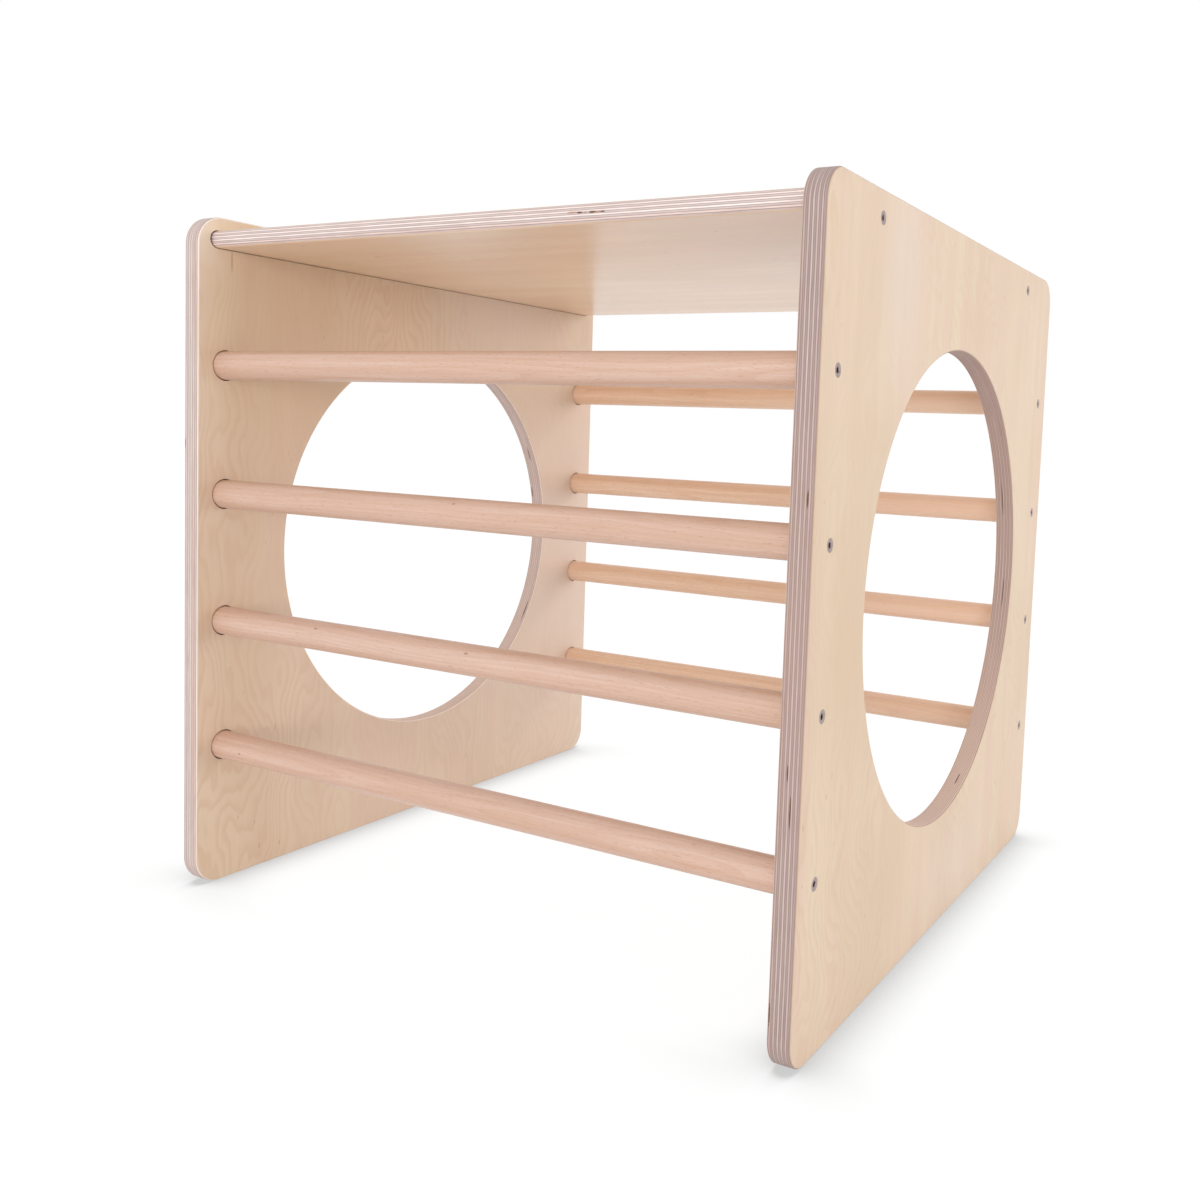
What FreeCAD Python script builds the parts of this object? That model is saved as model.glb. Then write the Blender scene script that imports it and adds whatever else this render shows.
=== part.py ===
"""Wooden climbing cube.

Two square plywood side panels, each with a large round climb-through hole, stand on the floor
and are joined by four beech rungs in front, four behind and a plywood board near the top.
Every rung sits in a blind bore of the panels and the board sits in a stopped groove. One
connector screw with a countersunk hexagon-socket head pulls each end home from outside.

Frame: +X to the right along the rungs, +Y to the back, +Z up. The origin is on the floor,
under the middle of the cube. Lengths are in millimetres.
"""
import FreeCAD, Part
import math
import os
import Sketcher

SHEET_NAME = "sizes"
RIGHT = 1
LEFT = -1
FRONT = -1
BACK = 1
SIDE_NAMES = {LEFT: "left", RIGHT: "right"}
ROW_NAMES = {FRONT: "front", BACK: "back"}
RUNGS_IN_A_ROW = 4
SCREWS_IN_THE_BOARD = 2
HEXAGON_SIDES = 6
FULL_TURN = 360
SMALL = 1e-4

# Driving dimensions: name, value and what it measures
DRIVING_SIZES = [
    ("overall_width", 600.0, "outer face to outer face of the side panels"),
    ("panel_depth", 592.0, "side panel, front to back"),
    ("panel_height", 592.0, "side panel, floor to top"),
    ("panel_thickness", 17.5, "side panel plywood"),
    ("panel_corner_radius", 25.0, "corners of the side panel"),
    ("arris_chamfer", 1.5, "broken arris of the panel's outline and hole"),
    ("hole_diameter", 400.0, "climb-through hole"),
    ("hole_height", 297.0, "centre of the hole above the floor"),
    ("housing_depth", 8.0, "depth of the rung bores and of the board groove"),
    ("rung_diameter", 25.0, "beech rung"),
    ("rung_bore_diameter", 25.6, "blind bore that takes a rung"),
    ("rung_inset", 28.5, "rung axis from the panel's front or back edge"),
    ("lowest_rung_height", 124.5, "lowest rung axis above the floor"),
    ("rung_pitch", 113.3, "height from one rung to the next"),
    ("board_thickness", 14.5, "top board plywood"),
    ("board_depth", 562.6, "top board, front to back"),
    ("board_height", 572.5, "middle of the board above the floor"),
    ("board_edge_radius", 6.0, "rounded front and back edges of the board"),
    ("groove_width", 15.0, "stopped groove that takes the board"),
    ("groove_length", 566.6, "groove over its round ends"),
    ("board_screw_offset", 200.0, "board screw from the middle plane"),
    ("screw_length", 50.0, "connector screw over all"),
    ("screw_head_diameter", 10.0, "countersunk head"),
    ("screw_countersink_angle", 90.0, "countersunk head, included angle in degrees"),
    ("screw_stem_diameter", 7.0, "stem, over its thread"),
    ("socket_width", 4.0, "hexagon socket across flats"),
    ("socket_depth", 3.0, "hexagon socket, deep"),
    ("screw_bore_play", 0.1, "screw bore wider than the stem, on the diameter"),
    ("screw_bore_end_room", 1.5, "screw bore deeper than the screw"),
]


def make_sheet(doc):
    """Put the driving dimensions in a spreadsheet, one named cell each."""
    sheet = doc.addObject("Spreadsheet::Sheet", SHEET_NAME)
    for row, (name, value, meaning) in enumerate(DRIVING_SIZES, start=1):
        sheet.set(f"A{row}", name)
        sheet.set(f"B{row}", str(value))
        sheet.set(f"C{row}", meaning)
        sheet.setAlias(f"B{row}", name)
    doc.recompute()


def size(name):
    """The name of a sheet cell as an expression writes it."""
    return f"{SHEET_NAME}.{name}"


# Lengths that several pieces share, worked out from the sheet
INNER_FACE = f"({size('overall_width')} / 2 - {size('panel_thickness')})"
SPAN_LENGTH = f"(2 * {INNER_FACE} + 2 * {size('housing_depth')})"
RUNG_ROW = f"({size('panel_depth')} / 2 - {size('rung_inset')})"
PANEL_LEFT_OVER = f"({size('panel_thickness')} - {size('housing_depth')})"
SCREW_BORE_DIAMETER = f"({size('screw_stem_diameter')} + {size('screw_bore_play')})"
SCREW_BORE_DEPTH = f"({size('screw_length')} - {PANEL_LEFT_OVER} + {size('screw_bore_end_room')})"


def rung_height(level):
    """Height of a rung axis: level 0 is the lowest."""
    return f"({size('lowest_rung_height')} + {level} * {size('rung_pitch')})"


def new_body(doc, name):
    """An empty body whose label names its file."""
    body = doc.addObject("PartDesign::Body", name)
    body.Label = name
    return body


def origin_feature(body, role):
    """A plane or axis of the body's own origin."""
    return next(item for item in body.Origin.OriginFeatures if item.Role == role)


def new_sketch(body, name, plane, offset=None):
    """A sketch on one of the body's planes, moved along the normal by an expression."""
    sketch = body.newObject("Sketcher::SketchObject", f"{body.Name}_{name}")
    sketch.AttachmentSupport = [(origin_feature(body, plane), "")]
    sketch.MapMode = "FlatFace"
    if offset:
        sketch.setExpression(".AttachmentOffset.Base.z", offset)
    return sketch


def number(sketch, expression):
    """What an expression comes to, as a plain number."""
    result = sketch.evalExpression(expression)
    return float(getattr(result, "Value", result))


def constrain(sketch, name, expression, *constraint):
    """Add a dimension to a sketch, positive as written, and bind it to an expression."""
    index = sketch.addConstraint(Sketcher.Constraint(*constraint, number(sketch, expression)))
    sketch.renameConstraint(index, name)
    sketch.setExpression(f"Constraints.{name}", expression)


def place_point(sketch, name, point, across, up):
    """Fix a point (geometry, end) at signed distances from the sketch's origin."""
    origin = (-1, 1)
    for kind, (sign, expression) in (("DistanceX", across), ("DistanceY", up)):
        if expression is None:
            line = "Vertical" if kind == "DistanceX" else "Horizontal"
            sketch.addConstraint(Sketcher.Constraint(line, *origin, *point))
            continue
        ends = (*origin, *point) if sign > 0 else (*point, *origin)
        constrain(sketch, f"{name}_{kind}", expression, kind, *ends)


def add_circle(sketch, name, across, up, diameter):
    """A circle whose centre and diameter are bound to expressions."""
    centre = [sign * number(sketch, expression) if expression else 0.0 for sign, expression in (across, up)]
    radius = number(sketch, diameter) / 2
    start = Part.Circle(FreeCAD.Vector(*centre, 0), FreeCAD.Vector(0, 0, 1), radius)
    circle = sketch.addGeometry(start, False)
    constrain(sketch, f"{name}_diameter", diameter, "Diameter", circle)
    place_point(sketch, name, (circle, 3), across, up)


def add_outline(sketch, corners):
    """Closed straight outline: corners are (across, up) pairs of numbers, returned as lines."""
    lines = []
    for start, end in zip(corners, corners[1:] + corners[:1]):
        line = Part.LineSegment(FreeCAD.Vector(*start, 0), FreeCAD.Vector(*end, 0))
        lines.append(sketch.addGeometry(line, False))
    for line, following in zip(lines, lines[1:] + lines[:1]):
        sketch.addConstraint(Sketcher.Constraint("Coincident", line, 2, following, 1))
    return lines


def add_rectangle(sketch, width, height, bottom_on_axis):
    """Rectangle centred across the origin, standing on the axis or centred on it."""
    side = number(sketch, width) / 2
    rise = number(sketch, height)
    low = 0.0 if bottom_on_axis else -rise / 2
    corners = [(-side, low), (side, low), (side, low + rise), (-side, low + rise)]
    bottom, right, top, left = add_outline(sketch, corners)
    for line in (bottom, top):
        sketch.addConstraint(Sketcher.Constraint("Horizontal", line))
    for line in (right, left):
        sketch.addConstraint(Sketcher.Constraint("Vertical", line))
    if bottom_on_axis:
        sketch.addConstraint(Sketcher.Constraint("Symmetric", bottom, 1, bottom, 2, -1, 1))
    else:
        sketch.addConstraint(Sketcher.Constraint("Symmetric", bottom, 1, top, 1, -1, 1))
    constrain(sketch, "width", width, "DistanceX", bottom, 1, bottom, 2)
    constrain(sketch, "height", height, "DistanceY", right, 1, right, 2)


def add_slot(sketch, length, width, up):
    """Round-ended slot along the sketch's horizontal, centred across the origin."""
    half_reach = f"({length} - {width}) / 2"
    reach = number(sketch, half_reach)
    radius = number(sketch, width) / 2
    middle = number(sketch, up)
    quarter = math.pi / 2
    normal = FreeCAD.Vector(0, 0, 1)

    def at(x, z):
        return FreeCAD.Vector(x * reach, middle + z * radius, 0)

    right_rim = Part.Circle(at(1, 0), normal, radius)
    left_rim = Part.Circle(at(-1, 0), normal, radius)
    outline = [
        Part.LineSegment(at(-1, -1), at(1, -1)),
        Part.ArcOfCircle(right_rim, -quarter, quarter),
        Part.LineSegment(at(1, 1), at(-1, 1)),
        Part.ArcOfCircle(left_rim, quarter, 3 * quarter),
    ]
    loop = [sketch.addGeometry(piece, False) for piece in outline]
    right, left = loop[1], loop[3]
    for piece, following in zip(loop, loop[1:] + loop[:1]):
        sketch.addConstraint(Sketcher.Constraint("Tangent", piece, 2, following, 1))
    sketch.addConstraint(Sketcher.Constraint("Equal", right, left))
    constrain(sketch, "end_radius", f"{width} / 2", "Radius", right)
    place_point(sketch, "right_end", (right, 3), (1, half_reach), (1, up))
    place_point(sketch, "left_end", (left, 3), (-1, half_reach), (1, up))


def add_feature(body, kind, name, sketch=None, **bindings):
    """Add a PartDesign feature and bind its sizes to expressions."""
    feature = body.newObject(f"PartDesign::{kind}", f"{body.Name}_{name}")
    if sketch is not None:
        feature.Profile = sketch
        sketch.Visibility = False
    for path, expression in bindings.items():
        feature.setExpression(path, expression)
    return feature


def cut(body, name, sketch, depth, reverse):
    """Pocket that has to take material away."""
    before = body.Shape.Volume
    pocket = add_feature(body, "Pocket", name, sketch, Length=depth)
    pocket.Reversed = reverse
    body.Document.recompute()
    if body.Shape.Volume > before - SMALL:
        raise RuntimeError(f"{pocket.Name} cuts nothing")
    return pocket


def edge_names(shape, wanted):
    """Names of the edges for which wanted(edge) is true."""
    return [f"Edge{number}" for number, edge in enumerate(shape.Edges, start=1) if wanted(edge)]


def dress_edges(body, kind, name, wanted, **bindings):
    """Fillet or chamfer the edges of the body's tip that match a test."""
    tip = body.Tip
    feature = body.newObject(f"PartDesign::{kind}", f"{body.Name}_{name}")
    feature.Base = (tip, edge_names(tip.Shape, wanted))
    for path, expression in bindings.items():
        feature.setExpression(path, expression)
    body.Document.recompute()
    return feature


def runs_along_x(edge):
    """True for a straight edge square to the panels."""
    box = edge.BoundBox
    return box.XLength > SMALL and box.YLength < SMALL and box.ZLength < SMALL


def lies_across_x(edge):
    """True for an edge that lies flat in a plane square to X."""
    return edge.BoundBox.XLength < SMALL


def place(body, side, across=None, depth=None, height=None):
    """Put a body at expressions for X, Y and Z. A left-hand one is turned half round Z."""
    angle = FULL_TURN / 2 if side == LEFT else 0
    turn = FreeCAD.Rotation(FreeCAD.Vector(0, 0, 1), angle)
    body.Placement = FreeCAD.Placement(FreeCAD.Vector(0, 0, 0), turn)
    for axis, expression in (("x", across), ("y", depth), ("z", height)):
        if expression is not None:
            body.setExpression(f".Placement.Base.{axis}", expression)


def rung_places():
    """Row and level of every rung, in the order in which they are named."""
    return [(row, level) for row in (FRONT, BACK) for level in range(RUNGS_IN_A_ROW)]


def make_side_panel(doc, side):
    """Side panel with its hole, rung bores, stopped board groove and screw holes.

    Local X = 0 is the inner face. Both panels are the same part, one turned half round.
    """
    body = new_body(doc, f"side_panel_{SIDE_NAMES[side]}")

    outline = new_sketch(body, "outline", "YZ_Plane")
    add_rectangle(outline, size("panel_depth"), size("panel_height"), bottom_on_axis=True)
    add_feature(body, "Pad", "plate", outline, Length=size("panel_thickness"))
    doc.recompute()
    dress_edges(body, "Fillet", "corners", runs_along_x, Radius=size("panel_corner_radius"))

    ring = new_sketch(body, "hole_sketch", "YZ_Plane")
    add_circle(ring, "hole", (1, None), (1, size("hole_height")), size("hole_diameter"))
    cut(body, "hole", ring, size("panel_thickness"), reverse=True)
    dress_edges(body, "Chamfer", "arrises", lies_across_x, Size=size("arris_chamfer"))

    bores = new_sketch(body, "rung_bore_sketch", "YZ_Plane")
    for row, level in rung_places():
        name = f"{ROW_NAMES[row]}_{level + 1}"
        add_circle(bores, name, (row, RUNG_ROW), (1, rung_height(level)), size("rung_bore_diameter"))
    cut(body, "rung_bores", bores, size("housing_depth"), reverse=True)

    groove = new_sketch(body, "groove_sketch", "YZ_Plane")
    add_slot(groove, size("groove_length"), size("groove_width"), size("board_height"))
    cut(body, "board_groove", groove, size("housing_depth"), reverse=True)

    centres = new_sketch(body, "screw_hole_sketch", "YZ_Plane", offset=size("panel_thickness"))
    for row, level in rung_places():
        name = f"{ROW_NAMES[row]}_{level + 1}"
        add_circle(centres, name, (row, RUNG_ROW), (1, rung_height(level)), size("screw_stem_diameter"))
    for row in (FRONT, BACK):
        across = (row, size("board_screw_offset"))
        add_circle(centres, f"board_{ROW_NAMES[row]}", across, (1, size("board_height")),
                   size("screw_stem_diameter"))
    doc.recompute()
    holes = add_feature(body, "Hole", "screw_holes", centres)
    doc.recompute()
    holes.DepthType = "ThroughAll"
    holes.HoleCutType = "Countersink"
    holes.setExpression("Diameter", SCREW_BORE_DIAMETER)
    holes.setExpression("HoleCutDiameter", size("screw_head_diameter"))
    holes.setExpression("HoleCutCountersinkAngle", size("screw_countersink_angle"))
    doc.recompute()

    place(body, side, across=f"{side} * {INNER_FACE}")
    return body


def drill_both_ends(body, centres):
    """Bores for the screws in both ends of a rung or of the board.

    centres is a list of (name, across, up) places in the end face.
    """
    sketch = new_sketch(body, "screw_bore_sketch", "YZ_Plane", offset=f"{SPAN_LENGTH} / 2")
    for name, across, up in centres:
        add_circle(sketch, name, across, up, SCREW_BORE_DIAMETER)
    near_end = cut(body, "screw_bore", sketch, SCREW_BORE_DEPTH, reverse=False)
    far_end = add_feature(body, "Mirrored", "far_end")
    far_end.Originals = [near_end]
    far_end.MirrorPlane = (origin_feature(body, "YZ_Plane"), [""])
    body.Tip = far_end
    body.Document.recompute()


def make_rung(doc, row, level):
    """Beech rung: a turned bar drilled for a screw at each end."""
    body = new_body(doc, f"{ROW_NAMES[row]}_rung_{level + 1}")
    section = new_sketch(body, "section", "YZ_Plane")
    add_circle(section, "bar", (1, None), (1, None), size("rung_diameter"))
    bar = add_feature(body, "Pad", "bar", section, Length=SPAN_LENGTH)
    bar.SideType = "Symmetric"
    doc.recompute()
    drill_both_ends(body, [("axis", (1, None), (1, None))])
    place(body, RIGHT, depth=f"{row} * {RUNG_ROW}", height=rung_height(level))
    return body


def make_top_board(doc):
    """Top board: plywood with rounded front and back edges, drilled for two screws an end."""
    body = new_body(doc, "top_board")
    section = new_sketch(body, "section", "YZ_Plane")
    add_rectangle(section, size("board_depth"), size("board_thickness"), bottom_on_axis=False)
    plate = add_feature(body, "Pad", "plate", section, Length=SPAN_LENGTH)
    plate.SideType = "Symmetric"
    doc.recompute()
    dress_edges(body, "Fillet", "long_edges", runs_along_x, Radius=size("board_edge_radius"))
    offset = size("board_screw_offset")
    drill_both_ends(body, [(ROW_NAMES[row], (row, offset), (1, None)) for row in (FRONT, BACK)])
    place(body, RIGHT, height=size("board_height"))
    return body


def add_screw_profile(sketch):
    """Half section of a connector screw along -X, head face on the origin."""
    head = number(sketch, size("screw_head_diameter")) / 2
    stem = number(sketch, size("screw_stem_diameter")) / 2
    length = number(sketch, size("screw_length"))
    corners = [(0, 0), (0, head), (stem - head, stem), (-length, stem), (-length, 0)]
    face, cone, side, tip, axis = add_outline(sketch, corners)
    for line in (face, tip):
        sketch.addConstraint(Sketcher.Constraint("Vertical", line))
    for line in (side, axis):
        sketch.addConstraint(Sketcher.Constraint("Horizontal", line))
    sketch.addConstraint(Sketcher.Constraint("Coincident", face, 1, -1, 1))
    constrain(sketch, "head_radius", f"{size('screw_head_diameter')} / 2", "DistanceY", face, 1, face, 2)
    head_depth = (f"({size('screw_head_diameter')} - {size('screw_stem_diameter')}) / 2"
                  f" / tan({size('screw_countersink_angle')} / 2 * 1 deg)")
    constrain(sketch, "head_depth", head_depth, "DistanceX", cone, 2, cone, 1)
    constrain(sketch, "stem_radius", f"{size('screw_stem_diameter')} / 2", "DistanceY", -1, 1, side, 1)
    constrain(sketch, "length", size("screw_length"), "DistanceX", axis, 1, axis, 2)


def add_hexagon(sketch, width):
    """Hexagon about the origin, its size given across the flats by an expression."""
    corner_circle = f"{width} * 2 / sqrt(3)"
    radius = number(sketch, corner_circle) / 2
    angles = [math.radians(corner * FULL_TURN / HEXAGON_SIDES) for corner in range(HEXAGON_SIDES)]
    lines = add_outline(sketch, [(radius * math.cos(angle), radius * math.sin(angle)) for angle in angles])
    circle = Part.Circle(FreeCAD.Vector(0, 0, 0), FreeCAD.Vector(0, 0, 1), radius)
    rim = sketch.addGeometry(circle, True)
    sketch.addConstraint(Sketcher.Constraint("Coincident", rim, 3, -1, 1))
    for line in lines:
        sketch.addConstraint(Sketcher.Constraint("PointOnObject", line, 1, rim))
    for line in lines[1:]:
        sketch.addConstraint(Sketcher.Constraint("Equal", lines[0], line))
    sketch.addConstraint(Sketcher.Constraint("PointOnObject", lines[0], 1, -1))
    constrain(sketch, "across_corners", corner_circle, "Diameter", rim)


def make_screws(doc, side, group, count, spacing, direction, depth, height):
    """A row of identical connector screws, their heads flush with one side panel.

    The first stands at the expressions depth and height, the rest follow along an own axis.
    """
    body = new_body(doc, f"{SIDE_NAMES[side]}_{group}_screws")
    body.AllowCompound = True
    profile = new_sketch(body, "profile", "XZ_Plane")
    add_screw_profile(profile)
    screw = add_feature(body, "Revolution", "screw", profile)
    screw.ReferenceAxis = (profile, ["H_Axis"])
    screw.Angle = FULL_TURN
    doc.recompute()
    socket = new_sketch(body, "socket_sketch", "YZ_Plane")
    add_hexagon(socket, size("socket_width"))
    recess = cut(body, "socket", socket, size("socket_depth"), reverse=False)
    row = add_feature(body, "LinearPattern", "row")
    row.Originals = [screw, recess]
    row.Direction = (origin_feature(body, direction), [""])
    row.Mode = "Spacing"
    row.setExpression("Offset", spacing)
    row.Occurrences = count
    body.Tip = row
    doc.recompute()
    place(body, side, across=f"{side} * {size('overall_width')} / 2", depth=depth, height=height)
    return body


def make_all_screws(doc):
    """Both ends of every rung and of the board."""
    groups = []
    offset = size("board_screw_offset")
    for side in (LEFT, RIGHT):
        for row in (FRONT, BACK):
            groups.append(make_screws(
                doc, side, f"{ROW_NAMES[row]}_rung", RUNGS_IN_A_ROW, size("rung_pitch"), "Z_Axis",
                depth=f"{row} * {RUNG_ROW}", height=rung_height(0)))
        groups.append(make_screws(
            doc, side, "board", SCREWS_IN_THE_BOARD, f"2 * {offset}", "Y_Axis",
            depth=f"{-side} * {offset}", height=size("board_height")))
    return groups


def check_document(doc, bodies):
    """Stop if any object failed or any sub-part has no sound shape."""
    for item in doc.Objects:
        if "Invalid" in item.State or "Error" in item.State:
            raise RuntimeError(f"{item.Name} is {item.State}")
    for body in bodies:
        if body.Shape.isNull() or not body.Shape.isValid() or body.Shape.Volume <= 0:
            raise RuntimeError(f"{body.Label} has no sound shape")


def write_parts(bodies):
    """One STEP file for each sub-part, named after its label."""
    os.makedirs("parts", exist_ok=True)
    for body in bodies:
        body.Shape.exportStep(os.path.join("parts", f"{body.Label}.step"))
        box = body.Shape.optimalBoundingBox(False)
        print(f"{body.Label}: {len(body.Shape.Solids)} solid(s), {body.Shape.Volume / 1000:.1f} cm3, "
              f"x {box.XMin:.2f} to {box.XMax:.2f}, y {box.YMin:.2f} to {box.YMax:.2f}, "
              f"z {box.ZMin:.2f} to {box.ZMax:.2f}")


def main():
    """Build the whole cube and write its parts."""
    doc = FreeCAD.newDocument("climbing_cube")
    make_sheet(doc)
    bodies = [make_side_panel(doc, side) for side in (LEFT, RIGHT)]
    bodies.append(make_top_board(doc))
    bodies += [make_rung(doc, row, level) for row, level in rung_places()]
    bodies += make_all_screws(doc)
    doc.recompute()
    check_document(doc, bodies)
    write_parts(bodies)


main()
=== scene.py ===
# %% [markdown]
# # A wooden climbing cube
#
# A small child climbs on this cube and crawls through it. Two birch plywood side panels with a
# large round hole each stand on the floor. Eight beech rungs and a plywood board join them, and
# countersunk screws hold every joint.
#
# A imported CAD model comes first. It gives the true sizes, and it stays in the file for
# collision. This lesson dresses it: it makes a finer mesh of each piece in the same place, and
# a procedural wood or metal for every surface.

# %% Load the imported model
import bmesh
import bpy
import math
from mathutils import Matrix, Vector


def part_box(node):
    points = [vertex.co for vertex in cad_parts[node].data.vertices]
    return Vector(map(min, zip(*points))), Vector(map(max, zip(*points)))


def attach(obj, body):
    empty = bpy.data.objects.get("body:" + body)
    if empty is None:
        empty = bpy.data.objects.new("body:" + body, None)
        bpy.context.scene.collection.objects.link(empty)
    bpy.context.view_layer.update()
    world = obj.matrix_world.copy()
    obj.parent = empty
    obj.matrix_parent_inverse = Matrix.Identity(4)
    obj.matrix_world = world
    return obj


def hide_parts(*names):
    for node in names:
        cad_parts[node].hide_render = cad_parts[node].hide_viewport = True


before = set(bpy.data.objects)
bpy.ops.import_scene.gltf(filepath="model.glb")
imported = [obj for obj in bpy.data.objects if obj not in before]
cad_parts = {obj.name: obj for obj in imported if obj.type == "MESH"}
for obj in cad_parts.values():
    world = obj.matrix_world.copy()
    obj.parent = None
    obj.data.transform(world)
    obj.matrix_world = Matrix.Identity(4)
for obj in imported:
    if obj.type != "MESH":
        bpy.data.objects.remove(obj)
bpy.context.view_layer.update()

MM = 0.001
print("CAD nodes:", ", ".join(sorted(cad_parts)))

# %% [markdown]
# ## Sizes
#
# The pieces meet at a few sizes: the outer faces, the plate thicknesses and the rung places.
# They could be typed again, but then they may drift from the CAD model. The boxes of its nodes
# give them instead. Only what a box can't tell, such as the hole in a panel, is written here.

# %% Sizes read from the CAD boxes, and the rest given
panel_low, panel_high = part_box("side_panel_right")
board_low, board_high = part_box("top_board")
rung_low, rung_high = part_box("front_rung_1")
second_low, second_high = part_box("front_rung_2")

OUTER_FACE = panel_high[0]
INNER_FACE = panel_low[0]
PANEL_THICKNESS = OUTER_FACE - INNER_FACE
PANEL_DEPTH = panel_high[1] - panel_low[1]
PANEL_HEIGHT = panel_high[2]
RUNG_DIAMETER = rung_high[2] - rung_low[2]
RUNG_LENGTH = rung_high[0] - rung_low[0]
RUNG_ROW = -(rung_low[1] + rung_high[1]) / 2
RUNG_LOWEST = (rung_low[2] + rung_high[2]) / 2
RUNG_PITCH = second_low[2] - rung_low[2]
BOARD_THICKNESS = board_high[2] - board_low[2]
BOARD_MIDDLE = (board_high[2] + board_low[2]) / 2
HOUSING = board_high[0] - INNER_FACE

CORNER_RADIUS = 25 * MM
ARRIS = 2 * MM
HOLE_RADIUS = 200 * MM
HOLE_HEIGHT = 297 * MM
RUNG_BORE = 26.8 * MM
GROOVE_WIDTH = 15.5 * MM
GROOVE_LENGTH = 568 * MM
BOARD_EDGE_RADIUS = 6 * MM
BOARD_SCREW_ROW = 200 * MM
SCREW_LENGTH = 50 * MM
SCREW_HEAD = 10 * MM
SCREW_STEM = 7 * MM
SCREW_BORE = 7.1 * MM
SOCKET_WIDTH = 4 * MM
SOCKET_DEPTH = 3 * MM

SIDES = {"left": -1, "right": 1}
ROWS = {"front": -1, "back": 1}
LEVELS = range(4)
rung_heights = [RUNG_LOWEST + level * RUNG_PITCH for level in LEVELS]
print("Rung heights in mm:", [round(height / MM, 1) for height in rung_heights])

# %% [markdown]
# ## The camera
#
# The photograph looks down at the cube from its front right, a little rolled, and its frame is
# cropped off centre. A camera fitted to the edges of the cube gives the place, the three turns,
# the lens and the shift. A target constraint is easier to set up, but it can't hold a roll.

# %% Camera at the photograph's viewing angle
CAMERA_PLACE = (0.59781, -0.97206, 0.42037)
CAMERA_YAW = math.radians(28.8845)
CAMERA_PITCH = math.radians(-4.4802)
CAMERA_ROLL = math.radians(2.1581)
CAMERA_LENS = 35.2365
CAMERA_SHIFT = (-0.09027, -0.06162)

camera_data = bpy.data.cameras.new("camera")
camera_data.sensor_width = 36
camera_data.lens = CAMERA_LENS
camera_data.shift_x, camera_data.shift_y = CAMERA_SHIFT
camera = bpy.data.objects.new("camera", camera_data)
bpy.context.scene.collection.objects.link(camera)
turn = Matrix.Rotation(CAMERA_YAW, 4, "Z")
turn @= Matrix.Rotation(math.pi / 2 + CAMERA_PITCH, 4, "X")
turn @= Matrix.Rotation(CAMERA_ROLL, 4, "Z")
camera.matrix_world = Matrix.Translation(CAMERA_PLACE) @ turn
bpy.context.scene.camera = camera
print("Camera height in m:", CAMERA_PLACE[2])

# %% [markdown]
# ## Helpers for node trees
#
# Shaders and Geometry Nodes are both trees of nodes. Long chains of new, set and link hide what
# a tree does, so two short helpers do that part. The first adds a node and fills its sockets
# with values or with links. The second starts a group with named inputs and outputs.

# %% Two helpers
def add_node(tree, kind, inputs=None, **settings):
    """Add a node. inputs maps a socket's name or number to a value or to another socket."""
    node = tree.nodes.new(kind)
    for name, value in settings.items():
        setattr(node, name, value)
    for socket, value in (inputs or {}).items():
        if isinstance(value, bpy.types.NodeSocket):
            tree.links.new(value, node.inputs[socket])
        else:
            node.inputs[socket].default_value = value
    return node


def new_group(name, kind, inputs, outputs):
    """Start a node group. inputs maps a name to (type, default), outputs maps a name to a type."""
    tree = bpy.data.node_groups.new(name, kind)
    for label, (socket_type, default) in inputs.items():
        socket = tree.interface.new_socket(
            label, in_out="INPUT", socket_type=f"NodeSocket{socket_type}")
        if default is not None:
            socket.default_value = default
    for label, socket_type in outputs.items():
        tree.interface.new_socket(label, in_out="OUTPUT", socket_type=f"NodeSocket{socket_type}")
    start, end = tree.nodes.new("NodeGroupInput"), tree.nodes.new("NodeGroupOutput")
    return tree, start.outputs, end.inputs


print("Helpers for trees: add_node, new_group")

# %% [markdown]
# ## Arithmetic in a tree
#
# A pattern is mostly sums of coordinates and noises. Small helpers for the nodes that add, map
# and mix make such sums read like a formula. Noise takes a place and a stretch for each axis: a
# small stretch along the grain makes long streaks, a large one across it makes them thin.

# %% Helpers for numbers
def maths(tree, operation, *values):
    """The result of a Math node."""
    return add_node(tree, "ShaderNodeMath", dict(enumerate(values)), operation=operation).outputs[0]


def vector_maths(tree, operation, *values):
    """The vector from a Vector Math node."""
    inputs = dict(enumerate(values))
    return add_node(tree, "ShaderNodeVectorMath", inputs, operation=operation).outputs[0]


def one_axis(tree, vector, axis):
    """One coordinate of a place or of a direction."""
    return add_node(tree, "ShaderNodeSeparateXYZ", {0: vector}).outputs[axis]


def between(tree, factor, first, second):
    """Mix two numbers by a factor."""
    return add_node(tree, "ShaderNodeMix", {0: factor, 2: first, 3: second}).outputs[0]


def spread(tree, value, low, high, to_low=0.0, to_high=1.0, smooth=True):
    """Map a value from one range to another, with soft ends."""
    kind = "SMOOTHSTEP" if smooth else "LINEAR"
    inputs = {"Value": value, "From Min": low, "From Max": high,
              "To Min": to_low, "To Max": to_high}
    return add_node(tree, "ShaderNodeMapRange", inputs, interpolation_type=kind).outputs["Result"]


def noise(tree, place, stretch, detail=2.0, distortion=0.0):
    """Noise about 0.5 at a place that is stretched axis by axis."""
    inputs = {"Vector": vector_maths(tree, "MULTIPLY", place, stretch), "Scale": 1.0,
              "Detail": detail, "Distortion": distortion}
    return add_node(tree, "ShaderNodeTexNoise", inputs, noise_dimensions="3D").outputs["Fac"]


def luck_of(tree, number):
    """A random value from 0 to 1 that is always the same for the same number."""
    inputs = {"W": number}
    return add_node(tree, "ShaderNodeTexWhiteNoise", inputs, noise_dimensions="1D").outputs["Value"]


print("Helpers for numbers: maths, vector_maths, one_axis, between, spread, noise, luck_of")

# %% [markdown]
# ## Colour in a tree
#
# A wood's colour is built in coats, as a painter does: a ground first, and then each feature
# over it where its mask is high. A Mix node is one coat. One more helper places a group in a
# material and fills its named inputs.

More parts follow.
